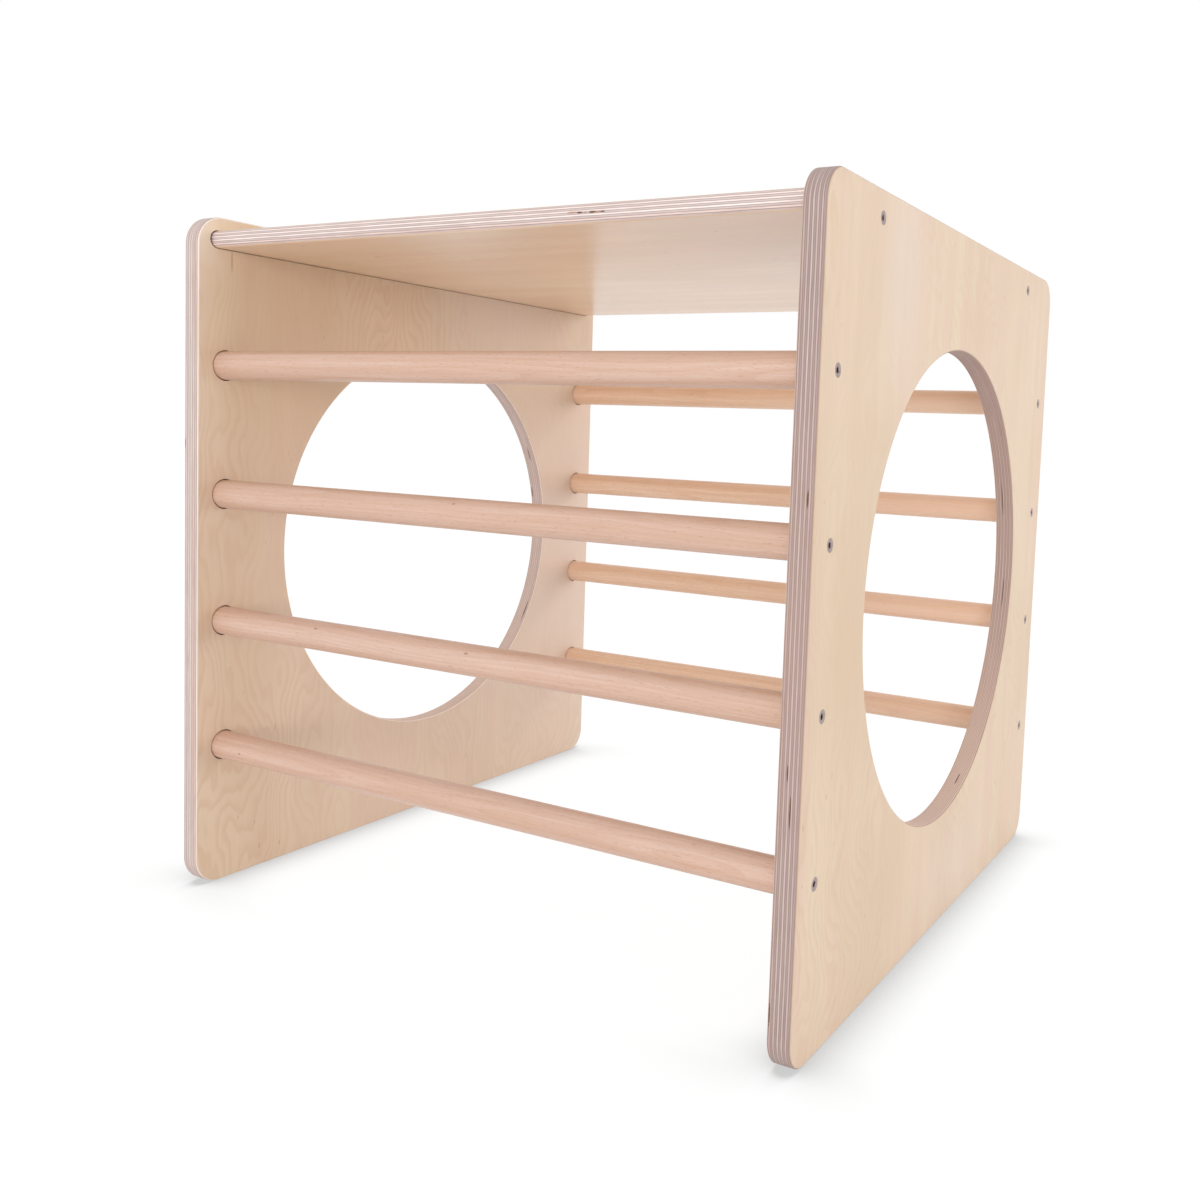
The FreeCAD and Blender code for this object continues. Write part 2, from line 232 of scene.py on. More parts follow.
# %% Helpers for colours
def blend(tree, factor, first, second, kind="MIX"):
    """Mix two colours by a factor."""
    inputs = {0: factor, 6: first, 7: second}
    return add_node(tree, "ShaderNodeMix", inputs, data_type="RGBA", blend_type=kind).outputs[2]


def coat(tree, colour, mask, strength, other):
    """Lay another colour over a colour where a mask is high."""
    return blend(tree, maths(tree, "MULTIPLY", mask, strength), colour, other)


def use(tree, group, **inputs):
    """Place a group in a material. An underscore in a name stands for a space."""
    sockets = {name.replace("_", " "): value for name, value in inputs.items()}
    node = add_node(tree, "ShaderNodeGroup", node_tree=group)
    for name, value in sockets.items():
        if isinstance(value, bpy.types.NodeSocket):
            tree.links.new(value, node.inputs[name])
        else:
            node.inputs[name].default_value = value
    return node.outputs


print("Helpers for colours: blend, coat, use")

# %% [markdown]
# ## The figure of a veneer
#
# Birch for plywood is peeled from a turning log. The sheet cuts each growth ring at a very flat
# angle, so the rings show as wide wavy contours, with long pale and dark streaks and fine
# fibres along the grain, and now and then a short brown pith fleck. A picture could show that,
# but a formula never repeats and needs no file. The group reads a place on the sheet: X across
# the grain, Y along it and Z the number of the sheet, so that each sheet has its own figure.

# %% Group: veneer figure
RINGS_ACROSS = 95.0

figure_group, given, result = new_group(
    "veneer_figure", "ShaderNodeTree",
    {"Place": ("Vector", None), "Ring Count": ("Float", 17.0)},
    {"Rings": "Float", "Streaks": "Float", "Clouds": "Float", "Fibres": "Float", "Flecks": "Float"})
tree = figure_group
place = given["Place"]
hills = noise(tree, place, (13.0, 6.0, 3.7), detail=1.0)
ripples = noise(tree, place, (42.0, 13.0, 5.1), detail=2.0)
fray = noise(tree, place, (170.0, 14.0, 2.3), detail=1.0)
phase = maths(tree, "MULTIPLY", one_axis(tree, place, "X"), RINGS_ACROSS)
for wave, count in ((hills, given["Ring Count"]), (ripples, 4.0), (fray, 0.4)):
    phase = maths(tree, "MULTIPLY_ADD", wave, count, phase)
within = maths(tree, "FRACT", phase)
late = spread(tree, within, 0.25, 0.85)
ring = maths(tree, "MULTIPLY", late, spread(tree, within, 0.86, 1.0, 1.0, 0.0))
clarity = spread(tree, noise(tree, place, (7.0, 3.0, 8.3), detail=1.0), 0.38, 0.62, 0.35, 1.0)
wide = noise(tree, place, (30.0, 1.8, 6.1), detail=2.0, distortion=0.4)
cloud = noise(tree, place, (9.0, 4.0, 4.4), detail=2.0, distortion=0.5)
fine = noise(tree, place, (800.0, 24.0, 9.7), detail=2.0)
speck = noise(tree, place, (380.0, 80.0, 2.9), detail=0.0)
for output, value in (
        ("Rings", maths(tree, "MULTIPLY", ring, clarity)),
        ("Streaks", spread(tree, wide, 0.3, 0.7)), ("Clouds", spread(tree, cloud, 0.3, 0.7)),
        ("Fibres", spread(tree, fine, 0.25, 0.75)),
        ("Flecks", spread(tree, speck, 0.84, 0.90))):
    tree.links.new(value, result[output])
print("Group veneer_figure has", len(tree.nodes), "nodes")

# %% [markdown]
# ## The layers of plywood
#
# Every edge, bore and groove of a sheet cuts through its veneers, and the grain of each is
# square to the next. A veneer cut along its grain is pale, and one cut across shows the ends of
# its fibres and looks darker. So the layers aren't painted on the edges: the group works out
# from the depth below the face which veneer a point is in, and from the direction of the
# surface whether that veneer is cut along or across. It then holds in every bore by itself.
# A dark line of glue parts the veneers.

# %% Group: plywood layers
FACE_VENEER = 0.9 * MM
LAYER_WAVE = 0.5 * MM
GLUE_BAND = (0.05, 0.22)
SMEAR_BAND = (0.06, 0.28)
OUTER_LAYERS = (3 * MM, 7 * MM)

layers_group, given, result = new_group(
    "plywood_layers", "ShaderNodeTree",
    {"Place": ("Vector", None), "Depth": ("Float", 0.0), "Facing Along": ("Float", 0.0),
     "Facing Across": ("Float", 0.0), "Thickness": ("Float", 15 * MM),
     "Face Veneer": ("Float", FACE_VENEER), "Core Veneer": ("Float", 1.5 * MM)},
    {"Face": "Float", "End Grain": "Float", "Glue": "Float", "Tone": "Float"})
tree = layers_group
wobble = maths(tree, "SUBTRACT", noise(tree, given["Place"], (14.0, 14.0, 14.0), detail=1.0), 0.5)
depth = maths(tree, "MULTIPLY_ADD", wobble, LAYER_WAVE, given["Depth"])
below = maths(tree, "MINIMUM", depth, maths(tree, "SUBTRACT", given["Thickness"], depth))
in_core = maths(tree, "SUBTRACT", depth, given["Face Veneer"])
steps = maths(tree, "DIVIDE", in_core, given["Core Veneer"])
veneer = maths(tree, "FLOOR", steps)
within = maths(tree, "FRACT", steps)
from_joint = maths(tree, "MINIMUM", within, maths(tree, "SUBTRACT", 1.0, within))
crosswise = maths(tree, "SUBTRACT", 1.0, maths(tree, "FLOORED_MODULO", veneer, 2.0))
along = maths(tree, "ABSOLUTE", given["Facing Along"])
sideways = maths(tree, "ABSOLUTE", given["Facing Across"])
cut_ends = maths(tree, "MULTIPLY", between(tree, crosswise, along, sideways), 0.7)
uneven = maths(tree, "MULTIPLY_ADD", crosswise, 0.3, cut_ends)
smeared = spread(tree, from_joint, *SMEAR_BAND, 0.8, 0.0)
chance = luck_of(tree, veneer)
outermost = spread(tree, below, *OUTER_LAYERS, 0.5, 0.0)
for output, value in (
        ("Face", maths(tree, "LESS_THAN", below, given["Face Veneer"])),
        ("End Grain", maths(tree, "MAXIMUM", uneven, smeared)),
        ("Glue", spread(tree, from_joint, *GLUE_BAND, 1.0, 0.0)),
        ("Tone", maths(tree, "MULTIPLY_ADD", chance, 0.6, outermost))):
    tree.links.new(value, result[output])
print("Group plywood_layers has", len(tree.nodes), "nodes")

# %% [markdown]
# ## Marks that sit in one place
#
# A sheet also has marks that are nobody's pattern: a gap where two strips of core veneer don't
# meet, or a pin knot. Some places are also painted lighter or darker, as painted light and
# shade. Each is a lens shape at one place in the wood, and a material uses the group once for
# each mark. The sharp mask has an edge that a little noise makes ragged. The soft mask fades
# out slowly, for a region whose tint differs a little or that takes painted light or shade.

# %% Group: one mark in the wood
mark_group, given, result = new_group(
    "wood_mark", "ShaderNodeTree",
    {"Place": ("Vector", None), "Centre": ("Vector", (0, 0, 0)), "Half Size": ("Vector", (1, 1, 1)),
     "Ragged": ("Float", 0.0)},
    {"Sharp": "Float", "Soft": "Float"})
tree = mark_group
offset = vector_maths(tree, "SUBTRACT", given["Place"], given["Centre"])
lens = vector_maths(tree, "DIVIDE", offset, given["Half Size"])
reach = add_node(tree, "ShaderNodeVectorMath", {0: lens}, operation="LENGTH").outputs["Value"]
frayed = maths(tree, "ADD", reach, given["Ragged"])
tree.links.new(spread(tree, frayed, 0.65, 1.15, 1.0, 0.0), result["Sharp"])
tree.links.new(spread(tree, reach, 0.0, 1.2, 1.0, 0.0), result["Soft"])
print("Group wood_mark has", len(tree.nodes), "nodes")

# %% [markdown]
# ## Birch plywood: colours and helpers
#
# Birch is a cream wood, pinker in its streaks and honey brown along its rings. Its core is pale
# where a veneer is cut along the grain and greyer on the ends. The colours are plain values that
# were set under the lamps. Three helpers keep the finishes short: one starts a material,
# one lets a pattern raise the surface, and one lays marks over a colour.

# %% Birch colours and helpers for a finish
CREAM = (0.825, 0.65, 0.46, 1.0)
CREAM_PINK = (0.80, 0.575, 0.43, 1.0)
CREAM_DEEP = (0.66, 0.42, 0.25, 1.0)
CREAM_SHADE = (0.735, 0.545, 0.375, 1.0)
PITH = (0.30, 0.13, 0.05, 1.0)
CORE_LIGHT = (0.93, 0.84, 0.80, 1.0)
CORE_PINK = (0.72, 0.54, 0.47, 1.0)
CORE_ENDS = (0.53, 0.43, 0.405, 1.0)
CORE_GRIT = (0.34, 0.24, 0.21, 1.0)
ARRIS_DARK = (0.33, 0.21, 0.175, 1.0)
GLUE = (0.24, 0.13, 0.09, 1.0)


def new_material(name):
    """A material with its tree and its shader."""
    material = bpy.data.materials.new(name)
    material.use_nodes = True
    return material, material.node_tree, material.node_tree.nodes["Principled BSDF"]


def raise_surface(tree, shader, height, strength, distance):
    """Let a pattern raise the surface."""
    bump = {"Strength": strength, "Distance": distance, "Height": height}
    tree.links.new(add_node(tree, "ShaderNodeBump", bump).outputs[0], shader.inputs["Normal"])


def marked(tree, colour, place, marks):
    """A colour with marks laid over it, each at its place in mm."""
    grain = noise(tree, place, (700.0, 700.0, 700.0), detail=1.0)
    ragged = maths(tree, "MULTIPLY_ADD", grain, 0.6, -0.3)
    for kind, mark_colour, strength, centre, half_size in marks:
        mask = use(tree, mark_group, Place=place, Ragged=ragged,
                   Centre=[value * MM for value in centre],
                   Half_Size=[value * MM for value in half_size])[kind]
        colour = coat(tree, colour, mask, strength, mark_colour)
    return colour


print("Face veneer in mm:", FACE_VENEER / MM)

# %% [markdown]
# ## Birch plywood: face and core
#
# The face veneer and the core are two woods to the eye, so each gets its own function. The face
# takes the figure in coats. The core takes its layers and fine saw streaks along them. The two
# panels share one material: where X is above zero the core takes a darker tint. The rounded
# arris cuts through the face at a slant. It is pale like the core, which also stands for a
# painted highlight on the lit rounding, but dark on the outside of the right-hand sheet.

# %% Colours of face, core and arris
def face_colour(tree, figure, ring_strength, tint):
    """The colour of a face veneer."""
    face = blend(tree, figure["Streaks"], CREAM, CREAM_PINK)
    for mask, strength, other in (
            ("Clouds", 0.7, CREAM_SHADE), ("Rings", ring_strength, CREAM_DEEP),
            ("Fibres", 0.10, CREAM_DEEP), ("Flecks", 0.5, PITH)):
        face = coat(tree, face, figure[mask], strength, other)
    return blend(tree, 1.0, face, tint, "MULTIPLY")


def core_colour(tree, layers, streak, right_hand, pale_core, tint):
    """The colour of the layers in a cut edge. The tint is for the right-hand side."""
    contrast = maths(tree, "MULTIPLY_ADD", right_hand, 1.0 - pale_core, pale_core)
    core = blend(tree, layers["Tone"], CORE_LIGHT, CORE_PINK)
    core = coat(tree, core, layers["End Grain"], contrast, CORE_ENDS)
    core = blend(tree, spread(tree, streak, 0.42, 0.75, 0.0, 0.45), core, CORE_GRIT)
    return blend(tree, right_hand, core, blend(tree, 1.0, core, tint, "MULTIPLY"))


def arris_with_highlight(tree, face, out_of_plane, beneath, right_hand):
    """The face colour, with the rounded arris where the surface turns away from the face. Its pale
    colour is partly a painted highlight.
    """
    slope = spread(tree, maths(tree, "ABSOLUTE", out_of_plane), 0.65, 0.98, 0.85, 0.0)
    inside = blend(tree, right_hand, CORE_LIGHT, CORE_PINK)
    outside = blend(tree, right_hand, CORE_LIGHT, ARRIS_DARK)
    return blend(tree, slope, face, blend(tree, beneath, outside, inside))


print("Plywood colours: face_colour, core_colour, arris_with_highlight")

# %% [markdown]
# ## Birch plywood: the finish
#
# The panels have upright face grain and the board has grain along the rungs, so one function
# makes both finishes from a list of axes. A number for each sheet keeps the figures of the two
# panels, and of the two faces of a sheet, apart. The figure is quieter on the right-hand panel.
# A thin lacquer gives the wood a soft sheen, which the fibres break up.

# %% The plywood material
SHEET_STEP = 20.0
CORE_ROUGHNESS = 0.62


def birch_plywood(name, along, across, through, depth_of, thickness, core_veneer, figure_step,
                  face_tint, core_tint, pale_core, ring_strength, quiet, roughness, gloss,
                  face_marks, core_marks, wall_marks):
    """Plywood with its face grain along one axis. depth_of builds the depth below its face."""
    material, tree, shader = new_material(name)
    shader.inputs["Specular IOR Level"].default_value = gloss
    coordinates = add_node(tree, "ShaderNodeTexCoord")
    place, facing = coordinates.outputs["Object"], coordinates.outputs["Normal"]
    depth = depth_of(tree, place)
    side = maths(tree, "SIGN", one_axis(tree, place, through))
    right_hand = maths(tree, "GREATER_THAN", side, 0.0)
    beneath = maths(tree, "GREATER_THAN", depth, thickness / 2)
    layers = use(tree, layers_group, Place=place, Depth=depth, Thickness=thickness,
                 Facing_Along=one_axis(tree, facing, along), Face_Veneer=FACE_VENEER,
                 Facing_Across=one_axis(tree, facing, across), Core_Veneer=core_veneer)

    flip = maths(tree, "MULTIPLY", beneath, figure_step)
    on_sheet = add_node(tree, "ShaderNodeCombineXYZ", {
        "X": one_axis(tree, place, across), "Y": one_axis(tree, place, along),
        "Z": maths(tree, "MULTIPLY_ADD", side, SHEET_STEP, flip)}).outputs[0]
    figure = use(tree, figure_group, Place=on_sheet)
    strength = maths(tree, "MULTIPLY_ADD", right_hand, quiet - ring_strength, ring_strength)
    face = face_colour(tree, figure, strength, face_tint)
    # The face marks include soft painted light and painted shade.
    face = marked(tree, face, place, face_marks)
    face = arris_with_highlight(tree, face, one_axis(tree, facing, through), beneath, right_hand)

    thin = {axis: 45.0 for axis in "XYZ"} | {through: 2400.0}
    streak = noise(tree, place, tuple(thin.values()), detail=3.0)
    core = core_colour(tree, layers, streak, right_hand, pale_core, core_tint)
    # The wall marks include painted shade in the joint gaps.
    core = marked(tree, core, vector_maths(tree, "ABSOLUTE", place), wall_marks)
    core = coat(tree, core, layers["Glue"], 0.6, GLUE)
    core = marked(tree, core, place, core_marks)
    tree.links.new(blend(tree, layers["Face"], core, face), shader.inputs["Base Color"])

    sheen = maths(tree, "MULTIPLY_ADD", figure["Fibres"], 0.04, roughness)
    rough = between(tree, layers["Face"], CORE_ROUGHNESS, sheen)
    tree.links.new(rough, shader.inputs["Roughness"])
    pores = between(tree, layers["Face"], streak, figure["Fibres"])
    raise_surface(tree, shader, pores, 0.06, 0.1 * MM)
    return material


print("Roughness of the cut core:", CORE_ROUGHNESS)

# %% [markdown]
# ## Marks of the panels
#
# The marks are listed as kind, colour, strength, centre and half size. Gaps in the core show as
# dark slots in the edges, pin knots as small brown ticks on the faces, and soft marks as paler or
# warmer regions. Some soft marks on the faces are painted light and shade: the left panel's
# inner face is painted lighter towards the back and by the front edge and darker under the
# board, and the top front of the right panel's outside has a painted reflection. Each list leaves
# out what all its marks share.

# %% Marks on the panels
GAP = (0.11, 0.05, 0.02, 1.0)
GAP_RED = (0.42, 0.20, 0.10, 1.0)
PIN = (0.42, 0.20, 0.09, 1.0)
PINK_VENEER = (0.58, 0.34, 0.27, 1.0)
# Painted shade in the narrow joint gaps, with some scorching:
SCORCH_AND_SHADE = (0.52, 0.20, 0.09, 1.0)
# Lighter, for the lower wall of the hole:
LIGHTER_LOW_WALL = (0.80, 0.61, 0.51, 1.0)
TAN = (0.50, 0.30, 0.22, 1.0)
AMBER = (0.64, 0.46, 0.30, 1.0)
# Painted shade under the board, a little warmer:
SHADE_UNDER_BOARD = (0.63, 0.45, 0.29, 1.0)
# A pinker tone, in most places painted light:
PINK_AND_LIGHT = (0.745, 0.61, 0.53, 1.0)
# A painted reflection of the white surroundings:
REFLECTED_WHITE = (0.68, 0.57, 0.56, 1.0)
# Painted light:
LIT_CREAM = (0.93, 0.79, 0.64, 1.0)

panel_gaps = [("Soft", *mark) for mark in (
    (PINK_VENEER, 0.8, (-287.2, -296, 535), (1.2, 12, 70)),
    (PINK_VENEER, 0.5, (-288.6, -296, 300), (1.0, 12, 170)),
    (PINK_VENEER, 0.5, (-288, -296, 130), (2.0, 12, 110)),
    (TAN, 0.2, (291, -296, 300), (30, 12, 200)))]
panel_gaps += [("Sharp", GAP, 0.95, *mark) for mark in (
    ((295.5, -296, 381.7), (0.65, 5, 6.5)), ((289.8, -296, 204.6), (0.6, 5, 6.3)),
    ((292.7, -296, 179.3), (0.6, 5, 12)), ((284.1, -296, 43), (0.65, 5, 9.5)),
    ((289.8, 186.8, 367.5), (0.5, 25, 18)), ((292.7, 198, 272.3), (0.5, 25, 16)),
    ((292.7, 74.7, 111.6), (0.6, 8, 20)), ((-298.4, -296, 396), (0.7, 5, 4.5)),
    ((-286.6, 172.8, 196.3), (0.8, 14, 14)), ((-290.6, 178.2, 387.8), (0.6, 9, 9)),
    ((-297, 195.2, 340.8), (0.6, 7, 7)))]
panel_knots_and_light = [("Sharp", PIN, strength, (-282.5, y, z), (2, wide, high))
              for strength, y, z, wide, high in (
    (0.6, -155.7, 498.5, 0.8, 2.6), (0.45, -183.1, 540.8, 0.6, 5), (0.45, -159.6, 508.6, 0.6, 3),
    (0.4, -189.9, 513.1, 0.6, 4), (0.35, -196.6, 387.8, 0.6, 3), (0.5, -210.1, 128.6, 0.9, 4),
    (0.45, -251.5, 52.7, 0.7, 3), (0.5, -204.1, 15.2, 0.9, 3), (0.6, 64.5, 39.9, 1.0, 3.5),
    (0.35, 37.6, 81.8, 0.7, 4), (1.0, -261.6, 556, 0.9, 11))]
# Soft marks: tones of the wood, painted light and painted shade.
panel_knots_and_light += [("Soft", colour, strength, (x, y, z), (10, wide, high))
               for colour, strength, x, y, z, wide, high in (
    (SHADE_UNDER_BOARD, 0.6, -282.5, -190, 500, 170, 170), (PINK_AND_LIGHT, 0.6, -282.5, 250, 250, 220, 330),
    (PINK_AND_LIGHT, 0.6, -282.5, 110, 560, 150, 110), (AMBER, 0.6, 300, -233, 277, 60, 130),
    (AMBER, 0.4, 300, -215, 425, 50, 30), (AMBER, 0.35, 300, 30, 520, 90, 25),
    (AMBER, 0.35, 300, 262, 400, 30, 60), (AMBER, 0.3, 300, -150, 90, 110, 70),
    (PINK_AND_LIGHT, 0.5, 300, -150, 540, 60, 120), (PINK_AND_LIGHT, 0.4, 300, 60, 40, 130, 60),
    (AMBER, 0.15, 300, 0, 300, 520, 520), (LIT_CREAM, 0.35, -282.5, -292, 575, 50, 50),
    (LIT_CREAM, 0.25, -282.5, -298, 480, 40, 170), (PINK_AND_LIGHT, 0.45, -282.5, 60, 200, 420, 420))]
print("Marks on the panels:", len(panel_gaps + panel_knots_and_light))

# %% [markdown]
# ## Marks of the board and of the cuts
#
# The board has a row of gaps in its front edge and two pin knots below, and on the right of its
# underside a painted reflection of the white surroundings. The walls of the bores and the groove
# take a painted shade of the narrow gaps, with some scorching by the router, and so a dark line
# runs around each rung and the board. The wall of the hole is a little tan, and lighter low down.
# The marks of the cuts are alike at all corners of the cube, so they are listed once, for
# coordinates without their sign.

# %% Marks on the board and in the cuts
board_gaps = [("Sharp", colour, strength, (x, -281.3, z), (wide, 5, high))
              for colour, strength, x, z, wide, high in (
    (GAP_RED, 0.7, 96.5, 572.9, 5, 0.7), (GAP, 0.95, 103.5, 572.7, 2.8, 0.7),
    (GAP, 0.6, 108.3, 572.5, 1.6, 0.45), (GAP, 0.95, 114.5, 572.5, 3.4, 0.75),
    (GAP_RED, 0.8, 119, 572.4, 3, 0.6), (GAP, 0.9, 123, 572.4, 2.2, 0.6))]
# The soft lilac mark is a painted reflection on the underside.
board_knots_and_reflection = [("Sharp", PIN, 0.6, (-174.1, -195.5, 565.25), (6, 1.1, 2)),
              ("Sharp", PIN, 0.4, (-95.3, -157, 565.25), (5, 1.2, 2)),
              ("Soft", REFLECTED_WHITE, 0.45, (230, 0, 565.25), (150, 400, 3))]
# Painted shade in the bores and the groove, with some scorching.
cut_shade_and_tints = [("Sharp", SCORCH_AND_SHADE, 0.85, (291, RUNG_ROW / MM, height / MM), (30, 17, 17))
                for height in rung_heights]
cut_shade_and_tints += [("Sharp", SCORCH_AND_SHADE, 0.85, (291, 275, BOARD_MIDDLE / MM), (30, 14.8, 11)),
                 ("Sharp", SCORCH_AND_SHADE, 0.7, (291, 0, BOARD_MIDDLE / MM), (30, 240, 11)),
                 ("Sharp", TAN, 0.28, (291, 0, HOLE_HEIGHT / MM), (90, 262, 262)),
                 ("Soft", LIGHTER_LOW_WALL, 0.8, (291, 40, 110), (60, 240, 200))]
print("Marks on the board:", len(board_gaps + board_knots_and_reflection), "and in the cuts:", len(cut_shade_and_tints))

# %% [markdown]
# ## The two birch finishes
#
# The panels are 17.5 mm thick and the board is 14.5 mm, so their veneers differ a little too.
# The board was sanded finer, and it looks smoother. Its face is tinted paler than the panels',
# partly a painted light for its shaded underside. Each finish measures its depth from its own
# face: the outer face of a panel, and the top of the board.

# %% Birch for the panels and for the board
def panel_depth(tree, place):
    """How far a point lies below the outer face of its panel."""
    return maths(tree, "SUBTRACT", OUTER_FACE, maths(tree, "ABSOLUTE", one_axis(tree, place, "X")))


def board_depth(tree, place):
    """How far a point lies below the top of the board."""
    return maths(tree, "SUBTRACT", board_high[2], one_axis(tree, place, "Z"))


panel_birch = birch_plywood(
    "birch_panel", "Z", "Y", "X", panel_depth, PANEL_THICKNESS, core_veneer=1.5 * MM,
    figure_step=12.0, face_tint=(0.89, 0.90, 0.92, 1.0), core_tint=(0.73, 0.68, 0.68, 1.0),
    pale_core=0.75, ring_strength=0.42, quiet=0.28, roughness=0.40, gloss=0.5,
    face_marks=panel_knots_and_light, core_marks=panel_gaps, wall_marks=cut_shade_and_tints)
# The board's paler face tint is partly painted light for its shaded underside.
board_birch = birch_plywood(
    "birch_board", "X", "Y", "Z", board_depth, BOARD_THICKNESS, core_veneer=1.47 * MM,
    figure_step=10.0, face_tint=(1.10, 1.09, 1.09, 1.0), core_tint=(1.22, 1.25, 1.28, 1.0),
    pale_core=0.75, ring_strength=0.12, quiet=0.12, roughness=0.22, gloss=0.36,
    face_marks=board_knots_and_reflection, core_marks=board_gaps, wall_marks=[])
for material in (panel_birch, board_birch):
    print(material.name, "has", len(material.node_tree.nodes), "nodes")

# %% [markdown]
# ## Beech for the rungs
#
# A rung is turned from a straight-grained square of steamed beech. The growth rings are nearly
# flat planes through the bar, so they show as long lines, and as slim ovals where the bar's
# side runs level with them. Beech is known by its rays: thousands of short dark flecks.
# Each rung comes from another plank. The material finds the rung that a point is in from its
# height and row, and turns and shifts the figure by a random amount for that rung.

# %% Beech material
BEECH = (0.71, 0.50, 0.41, 1.0)
REAR_ROW_LIGHT = (1.22, 1.26, 1.16, 1.0)
LIT_BEECH = (0.93, 0.66, 0.50, 1.0)
LIT_BEECH_TOP = (0.97, 0.74, 0.57, 1.0)
BEECH_DEEP = (0.55, 0.31, 0.19, 1.0)
BEECH_RAY = (0.36, 0.16, 0.08, 1.0)
BEECH_RING = 3.2 * MM
PLANK_STEP = 3.0
ROW_STEP = 10.0

beech, tree, shader = new_material("beech_rung")
place = add_node(tree, "ShaderNodeTexCoord").outputs["Object"]
height = maths(tree, "SUBTRACT", one_axis(tree, place, "Z"), RUNG_LOWEST)
level = maths(tree, "ROUND", maths(tree, "DIVIDE", height, RUNG_PITCH))
row = maths(tree, "SIGN", one_axis(tree, place, "Y"))
number = maths(tree, "MULTIPLY_ADD", row, ROW_STEP, level)
luck = luck_of(tree, number)
plank = add_node(tree, "ShaderNodeCombineXYZ", {
    "X": maths(tree, "MULTIPLY", luck, PLANK_STEP), "Y": maths(tree, "MULTIPLY", row, RUNG_ROW),
    "Z": maths(tree, "MULTIPLY_ADD", level, RUNG_PITCH, RUNG_LOWEST)}).outputs[0]
turned = add_node(tree, "ShaderNodeVectorRotate", {
    "Vector": vector_maths(tree, "SUBTRACT", place, plank),
    "Angle": maths(tree, "MULTIPLY", luck, 6.28)}, rotation_type="X_AXIS").outputs[0]
lean = noise(tree, turned, (3.0, 10.0, 10.0), detail=1.5)
phase = maths(tree, "DIVIDE", one_axis(tree, turned, "Z"), BEECH_RING)
ring = maths(tree, "FRACT", maths(tree, "MULTIPLY_ADD", lean, 7.0, phase))
streak = spread(tree, noise(tree, turned, (2.5, 150.0, 150.0), detail=2.0), 0.3, 0.7)
fibre = spread(tree, noise(tree, turned, (35.0, 1100.0, 1100.0), detail=1.0), 0.3, 0.7)
ray = spread(tree, noise(tree, turned, (190.0, 1500.0, 1500.0), detail=0.0), 0.68, 0.78)
colour = coat(tree, BEECH, maths(tree, "POWER", ring, 2.0), 0.30, BEECH_DEEP)
colour = coat(tree, colour, streak, 0.42, BEECH_DEEP)
colour = coat(tree, colour, fibre, 0.20, BEECH_DEEP)
colour = coat(tree, colour, ray, 0.3, BEECH_RAY)
tree.links.new(maths(tree, "MULTIPLY_ADD", fibre, 0.1, 0.36), shader.inputs["Roughness"])
raise_surface(tree, shader, fibre, 0.1, 0.1 * MM)
print("Beech has", len(tree.nodes), "nodes")

# %% [markdown]
# ## Knots and the back row
#
# Four pin knots show on the front rungs. The back row is painted brighter and a little more
# yellow, a painted light for the shade inside the cube, and paler still towards its right end, a
# painted light where the right panel and the board shade it. The same group of marks makes all
# of it: sharp and small for the knots, soft and large for the painted light.

# %% Knots, and painted light on the back row
KNOTS = ((-157.2, 245.6, 2.6), (5.9, 244.8, 2.6), (-10.2, 359.4, 2.2), (-246.9, 124.2, 1.8))
LIT_BEECH_PLACES = ((230, 300, LIT_BEECH, 320), (200, 466, LIT_BEECH_TOP, 60))

for x, z, length in KNOTS:
    knot = use(tree, mark_group, Place=place, Centre=(x * MM, -279 * MM, z * MM),
               Half_Size=(length * MM, 4 * MM, 0.9 * MM))["Sharp"]
    colour = coat(tree, colour, knot, 0.7, BEECH_RAY)
# Painted light: the back row is brightened as a whole.
lit_back_row = blend(tree, 1.0, colour, REAR_ROW_LIGHT, "MULTIPLY")
# Painted light: paler places at the right end of the back row.
for x, z, mark_colour, half_height in LIT_BEECH_PLACES:
    area = use(tree, mark_group, Place=place, Centre=(x * MM, 279 * MM, z * MM),
               Half_Size=(300 * MM, 90 * MM, half_height * MM))["Soft"]
    lit_back_row = coat(tree, lit_back_row, area, 0.7, mark_colour)
colour = blend(tree, maths(tree, "GREATER_THAN", row, 0.0), colour, lit_back_row)
tree.links.new(colour, shader.inputs["Base Color"])
print("Beech now has", len(tree.nodes), "nodes")

# %% [markdown]
# ## Steel for the screws
#
# The screws are plated steel. It is a metal, so its colour sits in the reflection. A fine noise
# in the roughness stands for the dull plating, which keeps the heads from looking like chrome.
# Deep in the socket the metal turns black, a painted shade for the dark hollow.

# %% Screw material
STEEL = (0.31, 0.24, 0.23, 1.0)
STEEL_WORN = (0.52, 0.42, 0.40, 1.0)
SOCKET_SHADE = (0.02, 0.017, 0.016, 1.0)
SOCKET_SHADE_DEPTH = (0.8 * MM, 2.2 * MM)

steel, tree, shader = new_material("screw_steel")
shader.inputs["Metallic"].default_value = 1.0
place = add_node(tree, "ShaderNodeTexCoord").outputs["Object"]
mottle = noise(tree, place, (900.0, 900.0, 900.0), detail=3.0)
plated = blend(tree, spread(tree, mottle, 0.35, 0.65), STEEL, STEEL_WORN)
# Painted shade: the socket turns black with depth.
deep = spread(tree, panel_depth(tree, place), *SOCKET_SHADE_DEPTH)
tree.links.new(blend(tree, deep, plated, SOCKET_SHADE), shader.inputs["Base Color"])
tree.links.new(spread(tree, mottle, 0.3, 0.7, 0.32, 0.5), shader.inputs["Roughness"])
raise_surface(tree, shader, mottle, 0.1, 0.05 * MM)
print("Steel has", len(tree.nodes), "nodes")

# %% [markdown]
# ## Cleaning a mesh for good shading
#
# A flat plate with rounded arrises shades badly if all its faces count the same: the small
# faces of the rounding bend the light on the large flat ones. Sharp edges where the form has
# them and the Weighted Normal modifier, which lets large faces rule, cure that.

